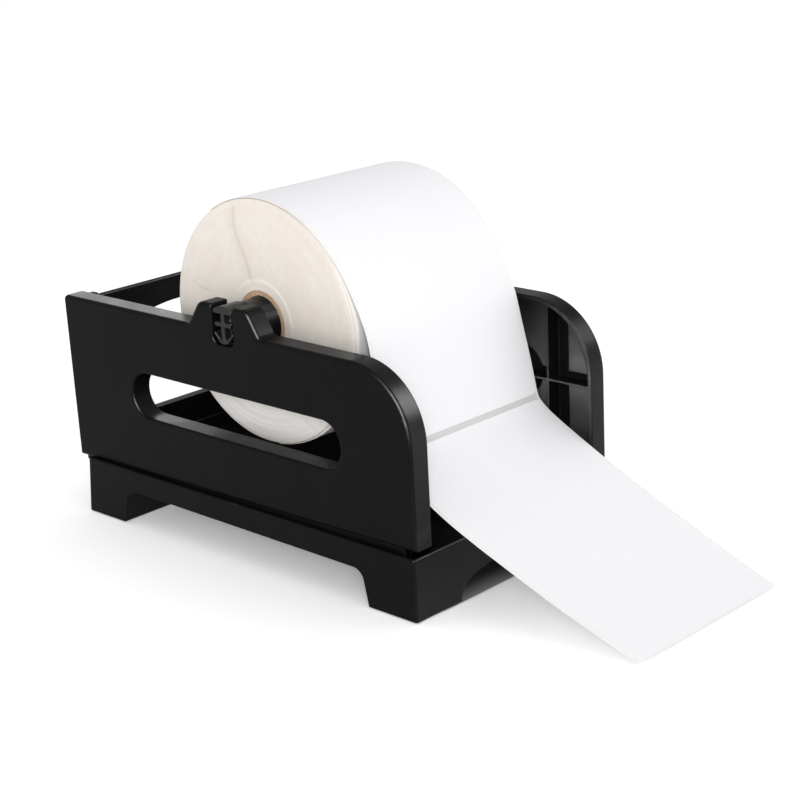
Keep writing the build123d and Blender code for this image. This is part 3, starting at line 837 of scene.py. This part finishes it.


def stage_floor():
    me = bpy.data.meshes.new("stage_floor")
    s = 7.0
    me.from_pydata([(-s, -s, 0), (s, -s, 0), (s, s, 0), (-s, s, 0)], [], [(0, 1, 2, 3)])
    ob = bpy.data.objects.new("stage_floor", me)
    ob.location.z = -0.0003
    bpy.context.scene.collection.objects.link(ob)
    m, nt, b = new_mat("stage_white")
    k = Nodes(nt)
    x, y, z = k.split()
    # painted shadow: the floor's colour and glow are turned down under the front wall, darkest further back
    shadow_mask = k.math("MULTIPLY", k.ramp(y, FLOOR_SHADOW_SPAN[0] - 0.001, FLOOR_SHADOW_SPAN[0] + 0.001), k.ramp(y, FLOOR_SHADOW_SPAN[1], FLOOR_SHADOW_SPAN[1] - 0.016))
    side = k.math("ABSOLUTE", x)
    shadow_mask = k.math("MULTIPLY", shadow_mask, k.ramp(side, 0.062, 0.046))
    dark = k.mix(k.ramp(y, FLOOR_SHADOW_SPAN[0], FLOOR_SHADOW_SPAN[0] + 0.015), (0.28, 0.28, 0.28), (0.045, 0.045, 0.045))
    k.link(k.mix(shadow_mask, (0.93, 0.93, 0.93), dark), b.inputs["Base Color"])
    k.link(k.math("MULTIPLY", k.math("SUBTRACT", 1.0, shadow_mask), 0.19), b.inputs["Emission Strength"])
    b.inputs["Roughness"].default_value = 0.9
    b.inputs["Specular IOR Level"].default_value = 0.0
    b.inputs["Emission Color"].default_value = (1, 1, 1, 1)
    me.materials.append(m)


def softbox(name, at, look, size, watts, tint=(1, 1, 1)):
    ld = bpy.data.lights.new(name, "AREA")
    ld.shape = "RECTANGLE"
    ld.size, ld.size_y = size
    ld.energy = watts
    ld.color = tint
    ob = bpy.data.objects.new(name, ld)
    bpy.context.scene.collection.objects.link(ob)
    ob.location = at
    ob.rotation_mode = "QUATERNION"
    ob.rotation_quaternion = (Vector(look) - Vector(at)).to_track_quat("-Z", "Y")
    return ob


stage_floor()
softbox("soft_top", (0.55, -0.25, 1.9), (0, 0, 0.08), (1.5, 1.5), 3.4)
ob = softbox("soft_front", (-1.36, -1.42, 0.74), (0, 0, 0.08), (0.60, 0.45), 18.0)
ob.visible_glossy = False
# panels that only show as sheen on the plastic
plastic = bpy.data.collections.new("sheen_on")
near_side = bpy.data.collections.new("sheen_near")
far_side = bpy.data.collections.new("sheen_far")
far_side.objects.link(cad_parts["right_side_panel"])
not_far = bpy.data.collections.new("sheen_not_far")
solid_stop = bpy.data.collections.new("sheen_stop")
for n in ("base_tray", "left_side_panel", "right_side_panel", "rear_frame", "spindle_tube",
          "left_spindle_key", "right_spindle_key"):
    plastic.objects.link(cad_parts[n])
    solid_stop.objects.link(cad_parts[n])
    if n != "right_side_panel":
        not_far.objects.link(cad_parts[n])
for n in ("left_side_panel", "spindle_tube", "left_spindle_key"):
    near_side.objects.link(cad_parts[n])
for ob in (wound, sprung, liner, front, upper):
    solid_stop.objects.link(ob)
BEAMS = {
    "sheen_in": ((0.066, -0.110 + YC * MM, 0.086), 3.6),        # front bay of the right panel's inside
}
for name, at, size, watts, takes, stops in (
    ("sheen_right", (1.55, -1.15, 1.20), (1.0, 1.0), 150.0, not_far, plastic),
    ("sheen_arc", (1.55, -1.15, 1.20), (1.0, 1.0), 42.0, far_side, plastic),
    ("sheen_back", (1.50, 1.45, 0.85), (1.3, 0.7), 10.0, near_side, plastic),
    ("sheen_left", (-1.50, -0.92, 0.95), (1.6, 1.4), 650.0, plastic, plastic),
    ("sheen_low", (1.30, -1.30, -0.42), (0.9, 0.7), 62.0, plastic, solid_stop),
    ("sheen_end", (1.30, -1.30, -0.42), (0.9, 0.7), 75.0, near_side, solid_stop),
    ("sheen_in", (-0.844, 0.5985 + YC * MM, -0.262), (0.04, 0.04), 0.0046, far_side, far_side),
):
    ob = softbox(name, at, (0, 0, 0.10), size, watts)
    if name in BEAMS:
        to, wide = BEAMS[name]
        ob.rotation_quaternion = (Vector(to) - Vector(at)).to_track_quat("-Z", "Y")
        ob.data.spread = math.radians(wide)
    ob.visible_diffuse = False
    ob.visible_camera = False
    ob.light_linking.receiver_collection = takes
    ob.light_linking.blocker_collection = stops

world = bpy.data.worlds.new("studio")
bpy.context.scene.world = world
world.use_nodes = True
wn = world.node_tree
wn.nodes.clear()
bg = wn.nodes.new("ShaderNodeBackground")
wo = wn.nodes.new("ShaderNodeOutputWorld")
bg.inputs["Color"].default_value = (0.98, 0.985, 1.0, 1)
bg.inputs["Strength"].default_value = 0.875
wn.links.new(bg.outputs[0], wo.inputs[0])

bpy.context.scene.view_settings.view_transform = "Standard"
bpy.context.scene.view_settings.look = "None"
bpy.context.scene.view_settings.exposure = 0.0
bpy.context.scene.view_settings.gamma = 1.0

bpy.context.view_layer.update()
